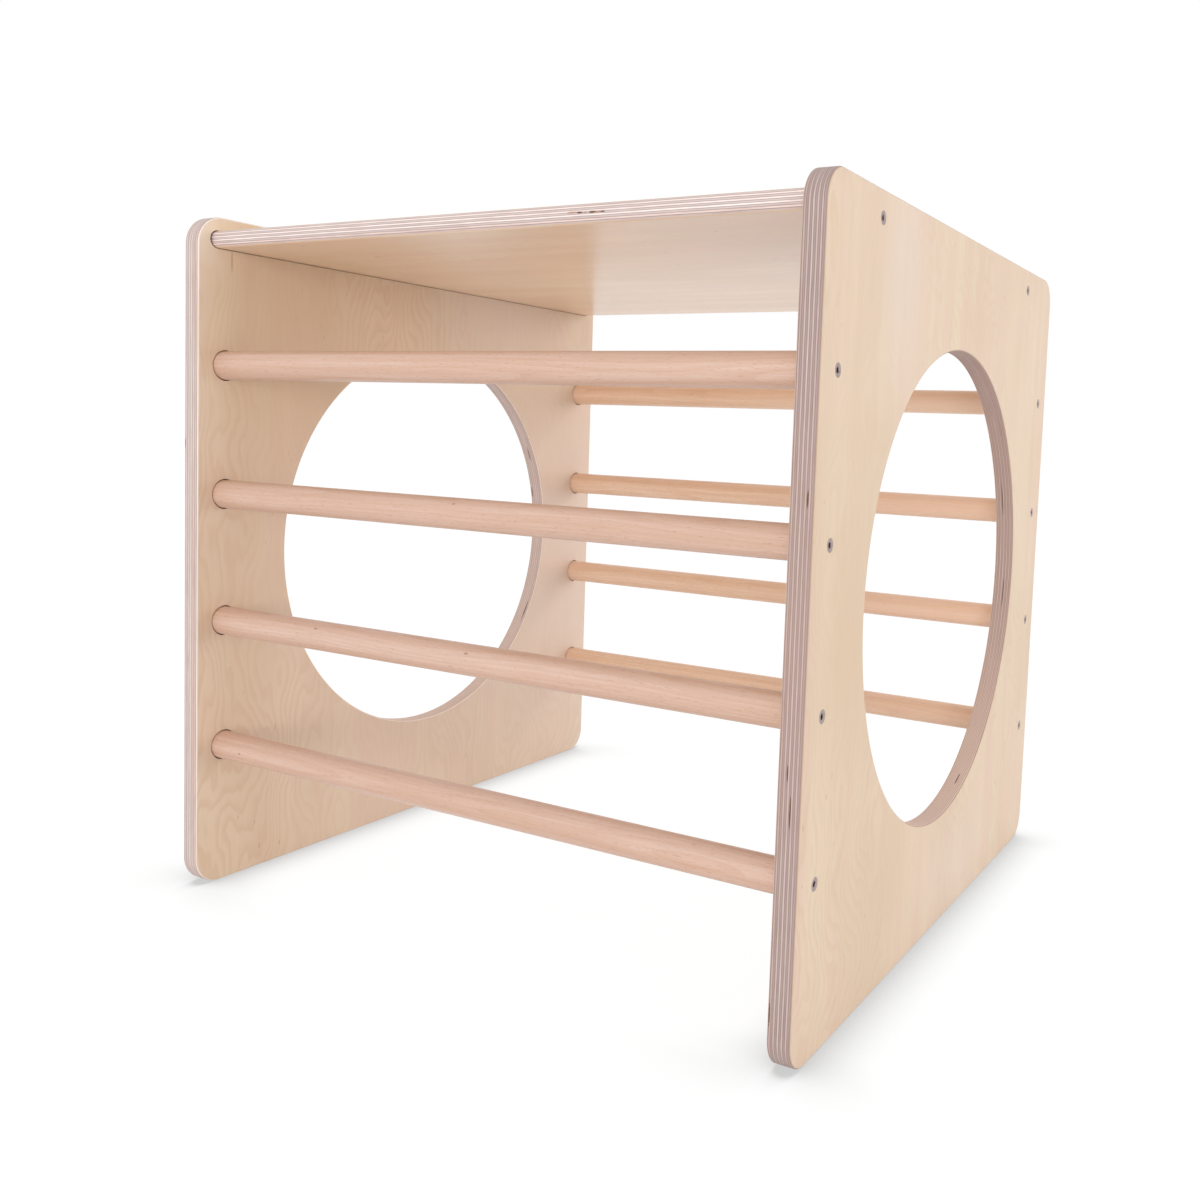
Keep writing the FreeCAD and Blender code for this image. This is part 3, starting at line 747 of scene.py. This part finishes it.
# %% Helpers for meshes
def link(name, data):
    """Put a mesh, a curve or a lamp in the scene as an object at the origin."""
    piece = bpy.data.objects.new(name, data)
    bpy.context.scene.collection.objects.link(piece)
    return piece


def plain_mesh(host, name):
    """The evaluated result of an object's modifiers or curve as a plain mesh."""
    graph = bpy.context.evaluated_depsgraph_get()
    mesh = bpy.data.meshes.new_from_object(host.evaluated_get(graph), depsgraph=graph)
    mesh.name = name
    return mesh


def apply_modifiers(piece):
    """Replace the object's mesh by its modified form and drop the modifiers."""
    mesh = plain_mesh(piece, piece.name)
    piece.modifiers.clear()
    piece.data = mesh


def merge(mesh):
    """Join doubled points and make all faces point outwards."""
    work = bmesh.new()
    work.from_mesh(mesh)
    bmesh.ops.remove_doubles(work, verts=work.verts, dist=0.002 * MM)
    bmesh.ops.recalc_face_normals(work, faces=work.faces)
    work.to_mesh(mesh)
    work.free()


def closed_mesh(work, name):
    """Turn a bmesh into a clean mesh."""
    mesh = bpy.data.meshes.new(name)
    work.to_mesh(mesh)
    work.free()
    merge(mesh)
    return mesh


def finish_shading(piece, angle=35):
    """Smooth shading with sharp edges where the form has them."""
    piece.data.shade_smooth()
    piece.data.set_sharp_from_angle(angle=math.radians(angle))
    weighted = piece.modifiers.new("weighted_normals", "WEIGHTED_NORMAL")
    weighted.keep_sharp = True
    apply_modifiers(piece)


print("Helpers for meshes: link, plain_mesh, apply_modifiers, merge, closed_mesh, finish_shading")

# %% [markdown]
# ## The side panels: the blank
#
# A router cuts the panel's outline and its hole, and then rounds both arrises. A 2D curve does
# the same: the outer loop and the hole are two closed splines, Extrude gives the thickness and
# Bevel the rounded arris on both at once. A Bevel modifier on a solid would have to cope with
# long thin triangles around the hole.

# %% Panel blank from a curve
CORNER_STEPS = 16
HOLE_STEPS = 144


def arc(centre, radius, start, end, steps):
    """Points on an arc, angles in degrees."""
    angles = [math.radians(start + (end - start) * step / steps) for step in range(steps + 1)]
    return [(centre[0] + radius * math.cos(a), centre[1] + radius * math.sin(a)) for a in angles]


def rounded_outline(width, height, radius, middle, steps):
    """Points of a rounded rectangle that is centred on 0 across and on middle upwards."""
    side, rise = width / 2 - radius, height / 2 - radius
    corners = [((side, middle - rise), -90), ((side, middle + rise), 0),
               ((-side, middle + rise), 90), ((-side, middle - rise), 180)]
    return [point for centre, start in corners
            for point in arc(centre, radius, start, start + 90, steps)]


def closed_spline(curve, points):
    """Add a closed straight-sided spline to a curve."""
    spline = curve.splines.new("POLY")
    spline.points.add(len(points) - 1)
    for point, (u, v) in zip(spline.points, points):
        point.co = (u, v, 0, 1)
    spline.use_cyclic_u = True


def panel_blank():
    """Mesh of the panel, local X across, Y up, Z through the thickness from -T/2 to T/2."""
    curve = bpy.data.curves.new("panel_outline", "CURVE")
    curve.dimensions = "2D"
    curve.fill_mode = "BOTH"
    closed_spline(curve, rounded_outline(
        PANEL_DEPTH, PANEL_HEIGHT, CORNER_RADIUS, PANEL_HEIGHT / 2, CORNER_STEPS))
    closed_spline(curve, arc((0, HOLE_HEIGHT), HOLE_RADIUS, 0, 360, HOLE_STEPS)[:-1])
    curve.extrude = PANEL_THICKNESS / 2 - ARRIS
    curve.bevel_depth = ARRIS
    curve.bevel_resolution = 4
    curve.offset = -ARRIS
    host = link("panel_outline", curve)
    mesh = plain_mesh(host, "panel_blank")
    bpy.data.objects.remove(host)
    merge(mesh)
    return mesh


blank = panel_blank()
print("Panel blank:", len(blank.polygons), "faces")

# %% [markdown]
# ## The side panels: the cutter
#
# Each panel takes eight rungs and the board in its inner face and ten screws from outside. All
# the tools are gathered in one cutter mesh, as a drilling machine does it in one setup. The
# bores and the groove are a little wider than what sits in them, which leaves the thin dark
# joint line of the photograph.

# %% Everything that is cut from a panel
BORE_STEPS = 64
SINK_STEPS = 40
GROOVE_STEPS = 20
OVERCUT = 0.5 * MM


def join_rings(work, rings):
    """Close a tube of rings of points with two end faces and its sides."""
    work.faces.new(rings[0])
    work.faces.new(reversed(rings[-1]))
    for near, far in zip(rings, rings[1:]):
        for first in range(len(near)):
            second = (first + 1) % len(near)
            work.faces.new((near[second], near[first], far[first], far[second]))


def add_prism(work, points, start, end):
    """Add a closed prism to a bmesh: points are (y, z), start and end are x."""
    join_rings(work, [[work.verts.new((x, y, z)) for y, z in points] for x in (start, end)])


def add_countersink(work, centre):
    """Screw bore with its 90 degree countersink, which meets the face at the head's diameter."""
    cone = (SCREW_HEAD - SCREW_BORE) / 2
    stations = [(INNER_FACE - OVERCUT, SCREW_BORE / 2), (OUTER_FACE - cone, SCREW_BORE / 2),
                (OUTER_FACE, SCREW_HEAD / 2), (OUTER_FACE + OVERCUT, SCREW_HEAD / 2 + OVERCUT)]
    rings = [(x, arc(centre, radius, 0, 360, SINK_STEPS)[:-1]) for x, radius in stations]
    join_rings(work, [[work.verts.new((x, y, z)) for y, z in points] for x, points in rings])


def panel_cutter():
    """The tools of the right-hand panel in one mesh."""
    work = bmesh.new()
    cuts = []
    for row in ROWS.values():
        for height in rung_heights:
            cuts.append(arc((row * RUNG_ROW, height), RUNG_BORE / 2, 0, 360, BORE_STEPS)[:-1])
            add_countersink(work, (row * RUNG_ROW, height))
        add_countersink(work, (row * BOARD_SCREW_ROW, BOARD_MIDDLE))
    reach = (GROOVE_LENGTH - GROOVE_WIDTH) / 2
    cuts.append(arc((reach, BOARD_MIDDLE), GROOVE_WIDTH / 2, -90, 90, GROOVE_STEPS)
                + arc((-reach, BOARD_MIDDLE), GROOVE_WIDTH / 2, 90, 270, GROOVE_STEPS))
    for points in cuts:
        add_prism(work, points, INNER_FACE - MM, INNER_FACE + HOUSING)
    return link("panel_cutter", closed_mesh(work, "panel_cutter"))


cutter = panel_cutter()
print("Cutter:", len(cutter.data.polygons), "faces")

# %% [markdown]
# ## The side panels: cutting
#
# A single Boolean modifier takes the cutter away from each blank. Each bore overlaps its
# countersink in that mesh, so the modifier has to resolve a cutter that crosses itself. The
# left panel is the right one turned half round, as the real maker needs only one drawing.

# %% Two finished panels
panel_middle = (OUTER_FACE + INNER_FACE) / 2
upright = Matrix(((0, 0, 1, panel_middle), (1, 0, 0, 0), (0, 1, 0, 0), (0, 0, 0, 1)))
half_turn = Matrix.Rotation(math.pi, 4, "Z")
for side, sign in SIDES.items():
    panel = link(f"panel_{side}", blank.copy())
    panel.data.transform(upright)
    routing = panel.modifiers.new("routing", "BOOLEAN")
    routing.operation = "DIFFERENCE"
    routing.solver = "EXACT"
    routing.use_self = True
    routing.object = cutter
    apply_modifiers(panel)
    merge(panel.data)
    if sign < 0:
        panel.data.transform(half_turn)
    panel.data.materials.clear()
    panel.data.materials.append(panel_birch)
    finish_shading(panel)
    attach(panel, "root")
    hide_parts(f"side_panel_{side}")
    print(panel.name, len(panel.data.polygons), "faces")
bpy.data.objects.remove(cutter)

# %% [markdown]
# ## The top board
#
# The board is planed plywood whose front and back edges are rounded. Its section is the same
# all along, so the section is drawn once and extruded with bmesh.

# %% Board from its section
EDGE_STEPS = 10

section = rounded_outline(
    board_high[1] - board_low[1], BOARD_THICKNESS, BOARD_EDGE_RADIUS, BOARD_MIDDLE, EDGE_STEPS)
work = bmesh.new()
add_prism(work, section, board_low[0], board_high[0])
board = link("board", closed_mesh(work, "board"))
board.data.materials.append(board_birch)
finish_shading(board)
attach(board, "root")
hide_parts("top_board")
print("Board:", len(board.data.polygons), "faces")

# %% [markdown]
# ## The rungs, with Geometry Nodes
#
# Eight rungs differ only in their place, so one tree makes them all: a cylinder whose two ends
# are drawn out a little and narrowed, which is the broken edge that a turner leaves. The sizes
# are named inputs, and each rung's object only gives its own centre. Two helpers serve both
# trees of this lesson: one is a step of the lathe, and the other ends a tree.

# %% Geometry tree: a turned rung
def drawn_out(tree, mesh, selection, distance, scale):
    """Draw selected faces out by a distance and scale them: one step of the lathe."""
    out = add_node(tree, "GeometryNodeExtrudeMesh", {
        "Mesh": mesh, "Selection": selection, "Offset Scale": distance, "Individual": False},
        mode="FACES").outputs
    shaped = add_node(tree, "GeometryNodeScaleElements", {
        "Geometry": out["Mesh"], "Selection": out["Top"], "Scale": scale}, domain="FACE")
    return shaped.outputs[0], out["Top"]


def end_tree(tree, geometry, material, result):
    """Make the geometry real and give it its material."""
    real = add_node(tree, "GeometryNodeRealizeInstances", {0: geometry}).outputs[0]
    ready = add_node(tree, "GeometryNodeSetMaterial", {"Geometry": real, "Material": material})
    tree.links.new(ready.outputs[0], result["Geometry"])
    print("Tree", tree.name, "has", len(tree.nodes), "nodes")


rung_tree, given, result = new_group(
    "turned_rung", "GeometryNodeTree",
    {"Diameter": ("Float", 0.025), "Length": ("Float", 0.58), "Broken Edge": ("Float", 0.001),
     "Sides": ("Int", 96), "Centre": ("Vector", (0, 0, 0)), "Wood": ("Material", None)},
    {"Geometry": "Geometry"})
tree = rung_tree
edge = given["Broken Edge"]
radius = maths(tree, "MULTIPLY", given["Diameter"], 0.5)
bar = add_node(tree, "GeometryNodeMeshCylinder", {
    "Vertices": given["Sides"], "Side Segments": 8, "Radius": radius,
    "Depth": maths(tree, "MULTIPLY_ADD", edge, -2.0, given["Length"])}, fill_type="NGON").outputs
ends = add_node(tree, "FunctionNodeBooleanMath", {0: bar["Top"], 1: bar["Bottom"]}, operation="OR")
narrow = maths(tree, "SUBTRACT", 1.0, maths(tree, "DIVIDE", edge, radius))
shaped, _ = drawn_out(tree, bar["Mesh"], ends.outputs[0], edge, narrow)
laid = add_node(tree, "GeometryNodeTransform", {
    "Geometry": shaped, "Translation": given["Centre"], "Rotation": (0, math.pi / 2, 0)})
end_tree(tree, laid.outputs[0], given["Wood"], result)

# %% [markdown]
# ## From a tree to a piece
#
# A modifier keeps its inputs under hidden identifiers, not under the names in the tree, so the
# helper looks each one up. It then turns the result into a plain mesh and drops the modifier,
# because a finished piece must not depend on a tree.

# %% Helper and the eight rungs
def grown(name, tree, values):
    """A piece made by a geometry tree with the given values for its named inputs."""
    piece = link(name, bpy.data.meshes.new(name))
    modifier = piece.modifiers.new("growth", "NODES")
    modifier.node_group = tree
    for item in tree.interface.items_tree:
        if item.in_out == "INPUT" and item.name in values:
            modifier[item.identifier] = values[item.name]
    apply_modifiers(piece)
    merge(piece.data)
    finish_shading(piece)
    return piece


for row, sign in ROWS.items():
    for level, height in enumerate(rung_heights, start=1):
        rung = grown(f"rung_{row}_{level}", rung_tree, {
            "Diameter": RUNG_DIAMETER, "Length": RUNG_LENGTH, "Wood": beech,
            "Centre": (0, sign * RUNG_ROW, height)})
        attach(rung, "root")
        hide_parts(f"{row}_rung_{level}")
print("Rungs:", len(ROWS) * len(LEVELS), "with", len(rung.data.polygons), "faces each")

# %% [markdown]
# ## The screws: body and head
#
# A connector screw has a flat countersunk head with a hexagon socket. A cylinder is its stem,
# and three steps of the lathe draw its top out: the cone, the rim, and the rim's worn edge. The
# body then moves down, so that the origin is at the middle of the head, where a row is set out.

# %% Geometry tree: the screw's body
screw_tree, given, result = new_group(
    "screw_row", "GeometryNodeTree",
    {"Head Diameter": ("Float", 0.01), "Stem Diameter": ("Float", 0.007), "Length": ("Float", 0.05),
     "Socket Width": ("Float", 0.004), "Socket Depth": ("Float", 0.003), "Rim": ("Float", 0.00025),
     "Count": ("Int", 4), "First": ("Vector", (0, 0, 0)), "Step": ("Vector", (0, 0, 0.1)),
     "Turn": ("Rotation", None), "Seed": ("Int", 1), "Metal": ("Material", None)},
    {"Geometry": "Geometry"})
tree = screw_tree
rim = given["Rim"]
stem_radius = maths(tree, "MULTIPLY", given["Stem Diameter"], 0.5)
head_radius = maths(tree, "MULTIPLY", given["Head Diameter"], 0.5)
under_rim = maths(tree, "SUBTRACT", head_radius, rim)
cone = maths(tree, "SUBTRACT", head_radius, stem_radius)
plain = maths(tree, "SUBTRACT", given["Length"], cone)
worn = maths(tree, "DIVIDE", maths(tree, "MULTIPLY", rim, 0.6), head_radius)
stem = add_node(tree, "GeometryNodeMeshCylinder", {
    "Vertices": 48, "Radius": stem_radius, "Depth": plain}, fill_type="NGON").outputs
body, top = stem["Mesh"], stem["Top"]
for rise, scale in (
        (maths(tree, "SUBTRACT", cone, rim), maths(tree, "DIVIDE", under_rim, stem_radius)),
        (maths(tree, "MULTIPLY", rim, 0.7), maths(tree, "DIVIDE", head_radius, under_rim)),
        (maths(tree, "MULTIPLY", rim, 0.3), maths(tree, "SUBTRACT", 1.0, worn))):
    body, top = drawn_out(tree, body, top, rise, scale)
drop = maths(tree, "SUBTRACT", maths(tree, "MULTIPLY", plain, -0.5), cone)


def moved_up(tree, geometry, height):
    """Geometry moved along its own axis."""
    place = add_node(tree, "ShaderNodeCombineXYZ", {"Z": height}).outputs[0]
    moved = add_node(tree, "GeometryNodeTransform", {"Geometry": geometry, "Translation": place})
    return moved.outputs[0]


body = moved_up(tree, body, drop)
print("Tree screw_row starts with", len(tree.nodes), "nodes")

# %% [markdown]
# ## The screws: socket and row
#
# A six-sided prism cuts the socket and a small cone its lead-in, with the Mesh Boolean node.
# Copies of the screw are then set along a line. A fixed seed turns each copy by a random angle,
# because nobody lines up sockets.

# %% Geometry tree: the socket and the row
corner = maths(tree, "DIVIDE", given["Socket Width"], math.sqrt(3))
prism = add_node(tree, "GeometryNodeMeshCylinder", {
    "Vertices": 6, "Radius": corner, "Depth": maths(tree, "MULTIPLY", given["Socket Depth"], 2.0)},
    fill_type="NGON")
lead = add_node(tree, "GeometryNodeMeshCone", {
    "Vertices": 36, "Radius Top": maths(tree, "MULTIPLY", corner, 1.22),
    "Radius Bottom": maths(tree, "MULTIPLY", corner, 0.82),
    "Depth": maths(tree, "MULTIPLY", corner, 0.4)}, fill_type="NGON")
lead_in = moved_up(tree, lead.outputs["Mesh"], maths(tree, "MULTIPLY", corner, -0.3))
socketed = add_node(tree, "GeometryNodeMeshBoolean", {"Mesh 1": body}, operation="DIFFERENCE")
tree.links.new(prism.outputs["Mesh"], socketed.inputs["Mesh 2"])
tree.links.new(lead_in, socketed.inputs["Mesh 2"])

places = add_node(tree, "GeometryNodeMeshLine", {
    "Count": given["Count"], "Start Location": given["First"], "Offset": given["Step"]})
copies = add_node(tree, "GeometryNodeInstanceOnPoints", {
    "Points": places.outputs[0], "Instance": socketed.outputs["Mesh"], "Rotation": given["Turn"]})
chance = add_node(tree, "FunctionNodeRandomValue", {"Seed": given["Seed"]}, data_type="FLOAT")
turn = maths(tree, "MULTIPLY", chance.outputs[1], math.pi)
spin = add_node(tree, "ShaderNodeCombineXYZ", {"Z": turn})
spun = add_node(tree, "GeometryNodeRotateInstances", {
    "Instances": copies.outputs[0], "Rotation": spin.outputs[0], "Local Space": True})
end_tree(tree, spun.outputs[0], given["Metal"], result)

# %% [markdown]
# ## Setting the screws
#
# There are six rows: four screws for each row of rungs and two for the board, on both sides.
# The rows follow the CAD nodes, so each row replaces the node that has the same screws.

# %% Six rows of screws
HEAD_GAP = 0.1 * MM
SEED_STEP = 5

rows = {
    "front_rung": (4, (-RUNG_ROW, RUNG_LOWEST), (0, RUNG_PITCH)),
    "back_rung": (4, (RUNG_ROW, RUNG_LOWEST), (0, RUNG_PITCH)),
    "board": (2, (-BOARD_SCREW_ROW, BOARD_MIDDLE), (2 * BOARD_SCREW_ROW, 0)),
}
for side, sign in SIDES.items():
    for seed, (group, (count, first, step)) in enumerate(rows.items()):
        screws = grown(f"screws_{side}_{group}", screw_tree, {
            "Head Diameter": SCREW_HEAD - HEAD_GAP, "Stem Diameter": SCREW_STEM,
            "Length": SCREW_LENGTH, "Socket Width": SOCKET_WIDTH, "Socket Depth": SOCKET_DEPTH,
            "Count": count, "First": (sign * OUTER_FACE, *first), "Step": (0, *step),
            "Turn": (0, sign * math.pi / 2, 0), "Seed": seed + SEED_STEP * (sign + 1),
            "Metal": steel})
        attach(screws, "root")
        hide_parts(f"{side}_{group}_screws")
print("Screws:", len(screws.data.polygons), "faces in the last row")

# %% [markdown]
# ## The floor
#
# The photograph is a cut-out on white with soft contact shadows. The floor is a pale matt sheet
# that also glows for the camera and for reflections, so it reads as white. A floor that is only
# lit would turn grey away from the lamps. An Ambient Occlusion node dims the glow close to the
# wood, and further out by the feet, which draws the shadow.

# %% Floor
FLOOR_SIZE = 30
FLOOR_LIT = (0.90, 0.92, 0.94, 1.0)
FLOOR_SEEN = (0.08, 0.08, 0.08, 1.0)
FLOOR_GLOW = 0.95
SHADOW_DEPTH = 0.38
SHADOW_REACH = (0.06, 0.13)
FEET = (0.24, 0.31)


def seen_directly(tree):
    """1 where the camera sees the surface, also in a mirror or through glass, and 0 elsewhere."""
    rays = add_node(tree, "ShaderNodeLightPath").outputs
    seen = maths(tree, "MAXIMUM", rays["Is Camera Ray"], rays["Is Glossy Ray"])
    return maths(tree, "MAXIMUM", seen, rays["Is Transmission Ray"])


work = bmesh.new()
bmesh.ops.create_grid(work, x_segments=1, y_segments=1, size=FLOOR_SIZE / 2)
mesh = bpy.data.meshes.new("floor")
work.to_mesh(mesh)
work.free()
floor = link("floor", mesh)
paper, tree, shader = new_material("pale_floor")
shader.inputs["Roughness"].default_value = 0.9
shader.inputs["Specular IOR Level"].default_value = 0.0
shader.inputs["Emission Color"].default_value = (1.0, 1.0, 1.0, 1.0)
seen = seen_directly(tree)
tree.links.new(blend(tree, seen, FLOOR_LIT, FLOOR_SEEN), shader.inputs["Base Color"])
place = add_node(tree, "ShaderNodeTexCoord").outputs["Object"]
reach = spread(tree, maths(tree, "ABSOLUTE", one_axis(tree, place, "Y")), *FEET, *SHADOW_REACH)
near = add_node(tree, "ShaderNodeAmbientOcclusion", {"Distance": reach}, samples=16).outputs["AO"]
contact = maths(tree, "POWER", spread(tree, near, 0.5, 1.0, 1.0, 0.0, smooth=False), 2.0)
glow = maths(tree, "MULTIPLY_ADD", contact, -SHADOW_DEPTH, FLOOR_GLOW)
tree.links.new(maths(tree, "MULTIPLY", seen, glow), shader.inputs["Emission Strength"])
floor.data.materials.append(paper)
print("Floor is", FLOOR_SIZE, "m square")

# %% [markdown]
# ## The world and two lamps
#
# Soft light from all sides suits a pale object. The world is white for the camera and a little
# dimmer as a lamp. That alone looks flat, so a lamp in front and a larger one behind give the
# light a direction. The one behind is kept out of reflections, where it would show as a glare.

# %% World and lamps
WORLD_LIGHT = 0.82

world = bpy.data.worlds.new("studio")
bpy.context.scene.world = world
world.use_nodes = True
tree = world.node_tree
background = tree.nodes["Background"]
background.inputs["Color"].default_value = (1.0, 1.0, 1.0, 1.0)
level = between(tree, seen_directly(tree), WORLD_LIGHT, 1.0)
tree.links.new(level, background.inputs["Strength"])


def soft_lamp(name, place, target, size, watts):
    """A large lamp that looks at a target."""
    lamp = bpy.data.lights.new(name, "AREA")
    lamp.shape = "RECTANGLE"
    lamp.size, lamp.size_y = size
    lamp.energy = watts
    holder = link(name, lamp)
    aim = (Vector(target) - Vector(place)).to_track_quat("-Z", "Y").to_matrix().to_4x4()
    holder.matrix_world = Matrix.Translation(place) @ aim
    return holder


middle = (0, 0, 0.3)
soft_lamp("front_lamp", (2.4, -6.6, 1.0), middle, size=(3.0, 1.8), watts=165)
back_lamp = soft_lamp("back_lamp", (3.2, 6.0, 2.2), middle, size=(4.5, 4.5), watts=210)
back_lamp.visible_glossy = False
bpy.context.scene.view_settings.view_transform = "Standard"
print("Lamps:", [light.name for light in bpy.data.lights])
